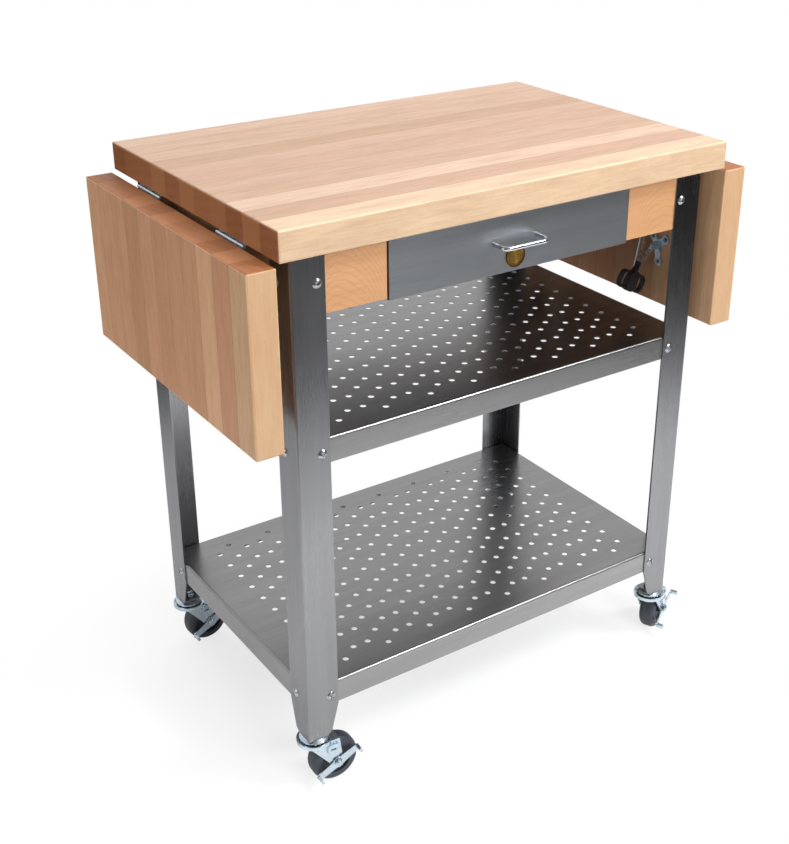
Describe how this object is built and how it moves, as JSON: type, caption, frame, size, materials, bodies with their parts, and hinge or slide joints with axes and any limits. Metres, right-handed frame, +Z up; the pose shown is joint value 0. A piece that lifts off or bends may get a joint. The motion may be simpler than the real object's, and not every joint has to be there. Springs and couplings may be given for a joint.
{
  "type": "kitchen island cart",
  "caption": "Rolling kitchen cart with a butcher-block top, drop leaves on folding brackets, a drawer, perforated steel shelves and braked casters.",
  "frame": {"origin": "on the floor, under the centre of the fixed top", "axes": "+X to the right along the drawer front, +Y to the back, +Z up"},
  "size_m": [0.853, 0.5155, 0.889],
  "materials": {
    "maple_block": "oiled edge-grain maple strips, satin",
    "maple_rail": "plain maple, satin",
    "stainless": "brushed stainless steel",
    "drawer_steel": "brushed stainless steel, grain along the drawer",
    "chrome": "polished",
    "zinc": "bright zinc plate",
    "wheel_rubber": "dark blue-grey, satin",
    "black_plastic": "moulded",
    "brass": "polished"
  },
  "bodies": {
    "cart_frame": {"top_slab": "maple_block", "front_block_left": "maple_rail", "front_block_right": "maple_rail", "left_rail": "maple_rail", "right_rail": "maple_rail", "back_rail": "maple_rail", "left_runner": "maple_rail", "right_runner": "maple_rail", "front_left_leg": "stainless", "front_right_leg": "stainless", "back_left_leg": "stainless", "back_right_leg": "stainless", "upper_shelf": "stainless", "lower_shelf": "stainless", "frame_screws": "chrome", "frame_nuts": "zinc", "outer_slides": "zinc", "left_hinge_plates": "zinc", "right_hinge_plates": "zinc", "hinge_pins": "zinc", "under_top_screws": "zinc", "caster_stems": "zinc", "caster_balls": "chrome", "left_bracket_plates": "zinc", "right_bracket_plates": "zinc"},
    "drawer": {"drawer_front": "drawer_steel", "drawer_pan": "stainless", "inner_slides": "zinc", "drawer_handle": "chrome", "handle_screws": "zinc", "drawer_badge": "brass"},
    "left_leaf_group": {"left_leaf": "maple_block", "left_hinge_flaps": "zinc", "left_leaf_plates": "zinc", "left_leaf_screws": "zinc"},
    "left_upper_arms": {"left_upper_arms": "zinc"},
    "left_lower_arms": {"left_lower_arms": "zinc"},
    "left_front_release": {"left_front_release": "black_plastic"},
    "left_back_release": {"left_back_release": "black_plastic"},
    "right_leaf_group": {"right_leaf": "maple_block", "right_hinge_flaps": "zinc", "right_leaf_plates": "zinc", "right_leaf_screws": "zinc"},
    "right_upper_arms": {"right_upper_arms": "zinc"},
    "right_lower_arms": {"right_lower_arms": "zinc"},
    "right_front_release": {"right_front_release": "black_plastic"},
    "right_back_release": {"right_back_release": "black_plastic"},
    "front_left_fork": {"front_left_fork": "zinc"},
    "front_left_wheel": {"front_left_wheel": "wheel_rubber"},
    "front_left_brake": {"front_left_brake": "zinc"},
    "front_right_fork": {"front_right_fork": "zinc"},
    "front_right_wheel": {"front_right_wheel": "wheel_rubber"},
    "front_right_brake": {"front_right_brake": "zinc"},
    "back_left_fork": {"back_left_fork": "zinc"},
    "back_left_wheel": {"back_left_wheel": "wheel_rubber"},
    "back_left_brake": {"back_left_brake": "zinc"},
    "back_right_fork": {"back_right_fork": "zinc"},
    "back_right_wheel": {"back_right_wheel": "wheel_rubber"},
    "back_right_brake": {"back_right_brake": "zinc"}
  },
  "joints": [
    {"name": "drawer_slide", "type": "slide", "parent": "cart_frame", "child": "drawer", "axis": [0, -1, 0], "range_m": [0, 0.3]},
    {"name": "left_leaf_hinge", "type": "hinge", "parent": "cart_frame", "child": "left_leaf_group", "pos_m": [-0.3815, 0, 0.844], "axis": [0, 1, 0], "range_deg": [0, 90]},
    {"name": "left_upper_arm_pivot", "type": "hinge", "parent": "cart_frame", "child": "left_upper_arms", "pos_m": [-0.366, 0, 0.78], "axis": [0, 1, 0], "range_deg": [0, 106.86]},
    {"name": "left_lower_arm_pivot", "type": "hinge", "parent": "left_leaf_group", "child": "left_lower_arms", "pos_m": [-0.376, 0, 0.688], "axis": [0, 1, 0], "range_deg": [-83.52, 0]},
    {"name": "left_front_release_pivot", "type": "hinge", "parent": "left_upper_arms", "child": "left_front_release", "pos_m": [-0.34106, -0.12, 0.6639], "axis": [0, 1, 0], "range_deg": [0, 15], "stiffness_Nm_per_rad": 0.8},
    {"name": "left_back_release_pivot", "type": "hinge", "parent": "left_upper_arms", "child": "left_back_release", "pos_m": [-0.34106, 0.12, 0.6639], "axis": [0, 1, 0], "range_deg": [0, 15], "stiffness_Nm_per_rad": 0.8},
    {"name": "right_leaf_hinge", "type": "hinge", "parent": "cart_frame", "child": "right_leaf_group", "pos_m": [0.3815, 0, 0.844], "axis": [0, -1, 0], "range_deg": [0, 90]},
    {"name": "right_upper_arm_pivot", "type": "hinge", "parent": "cart_frame", "child": "right_upper_arms", "pos_m": [0.366, 0, 0.78], "axis": [0, -1, 0], "range_deg": [0, 106.86]},
    {"name": "right_lower_arm_pivot", "type": "hinge", "parent": "right_leaf_group", "child": "right_lower_arms", "pos_m": [0.376, 0, 0.688], "axis": [0, -1, 0], "range_deg": [-83.52, 0]},
    {"name": "right_front_release_pivot", "type": "hinge", "parent": "right_upper_arms", "child": "right_front_release", "pos_m": [0.34106, -0.12, 0.6639], "axis": [0, -1, 0], "range_deg": [0, 15], "stiffness_Nm_per_rad": 0.8},
    {"name": "right_back_release_pivot", "type": "hinge", "parent": "right_upper_arms", "child": "right_back_release", "pos_m": [0.34106, 0.12, 0.6639], "axis": [0, -1, 0], "range_deg": [0, 15], "stiffness_Nm_per_rad": 0.8},
    {"name": "front_left_swivel", "type": "hinge", "parent": "cart_frame", "child": "front_left_fork", "pos_m": [-0.339, -0.215, 0.0785], "axis": [0, 0, 1], "continuous": true},
    {"name": "front_left_wheel_spin", "type": "hinge", "parent": "front_left_fork", "child": "front_left_wheel", "pos_m": [-0.31004, -0.21652, 0.038], "axis": [0.0523, 0.9986, 0], "continuous": true},
    {"name": "front_left_brake_pedal", "type": "hinge", "parent": "front_left_fork", "child": "front_left_brake", "pos_m": [-0.31004, -0.21652, 0.038], "axis": [0.0523, 0.9986, 0], "range_deg": [0, 24]},
    {"name": "front_right_swivel", "type": "hinge", "parent": "cart_frame", "child": "front_right_fork", "pos_m": [0.339, -0.215, 0.0785], "axis": [0, 0, 1], "continuous": true},
    {"name": "front_right_wheel_spin", "type": "hinge", "parent": "front_right_fork", "child": "front_right_wheel", "pos_m": [0.36506, -0.20229, 0.038], "axis": [-0.4384, 0.8988, 0], "continuous": true},
    {"name": "front_right_brake_pedal", "type": "hinge", "parent": "front_right_fork", "child": "front_right_brake", "pos_m": [0.36506, -0.20229, 0.038], "axis": [-0.4384, 0.8988, 0], "range_deg": [0, 24]},
    {"name": "back_left_swivel", "type": "hinge", "parent": "cart_frame", "child": "back_left_fork", "pos_m": [-0.339, 0.215, 0.0785], "axis": [0, 0, 1], "continuous": true},
    {"name": "back_left_wheel_spin", "type": "hinge", "parent": "back_left_fork", "child": "back_left_wheel", "pos_m": [-0.31011, 0.21753, 0.038], "axis": [-0.0872, 0.9962, 0], "continuous": true},
    {"name": "back_left_brake_pedal", "type": "hinge", "parent": "back_left_fork", "child": "back_left_brake", "pos_m": [-0.31011, 0.21753, 0.038], "axis": [-0.0872, 0.9962, 0], "range_deg": [0, 24]},
    {"name": "back_right_swivel", "type": "hinge", "parent": "cart_frame", "child": "back_right_fork", "pos_m": [0.339, 0.215, 0.0785], "axis": [0, 0, 1], "continuous": true},
    {"name": "back_right_wheel_spin", "type": "hinge", "parent": "back_right_fork", "child": "back_right_wheel", "pos_m": [0.36625, 0.22492, 0.038], "axis": [-0.342, 0.9397, 0], "continuous": true},
    {"name": "back_right_brake_pedal", "type": "hinge", "parent": "back_right_fork", "child": "back_right_brake", "pos_m": [0.36625, 0.22492, 0.038], "axis": [-0.342, 0.9397, 0], "range_deg": [0, 24]}
  ],
  "couplings": [
    {"joint": "left_upper_arm_pivot", "follows": "left_leaf_hinge", "ratio": 1.1872},
    {"joint": "left_lower_arm_pivot", "follows": "left_leaf_hinge", "ratio": -0.92788},
    {"joint": "right_upper_arm_pivot", "follows": "right_leaf_hinge", "ratio": 1.1872},
    {"joint": "right_lower_arm_pivot", "follows": "right_leaf_hinge", "ratio": -0.92788}
  ]
}
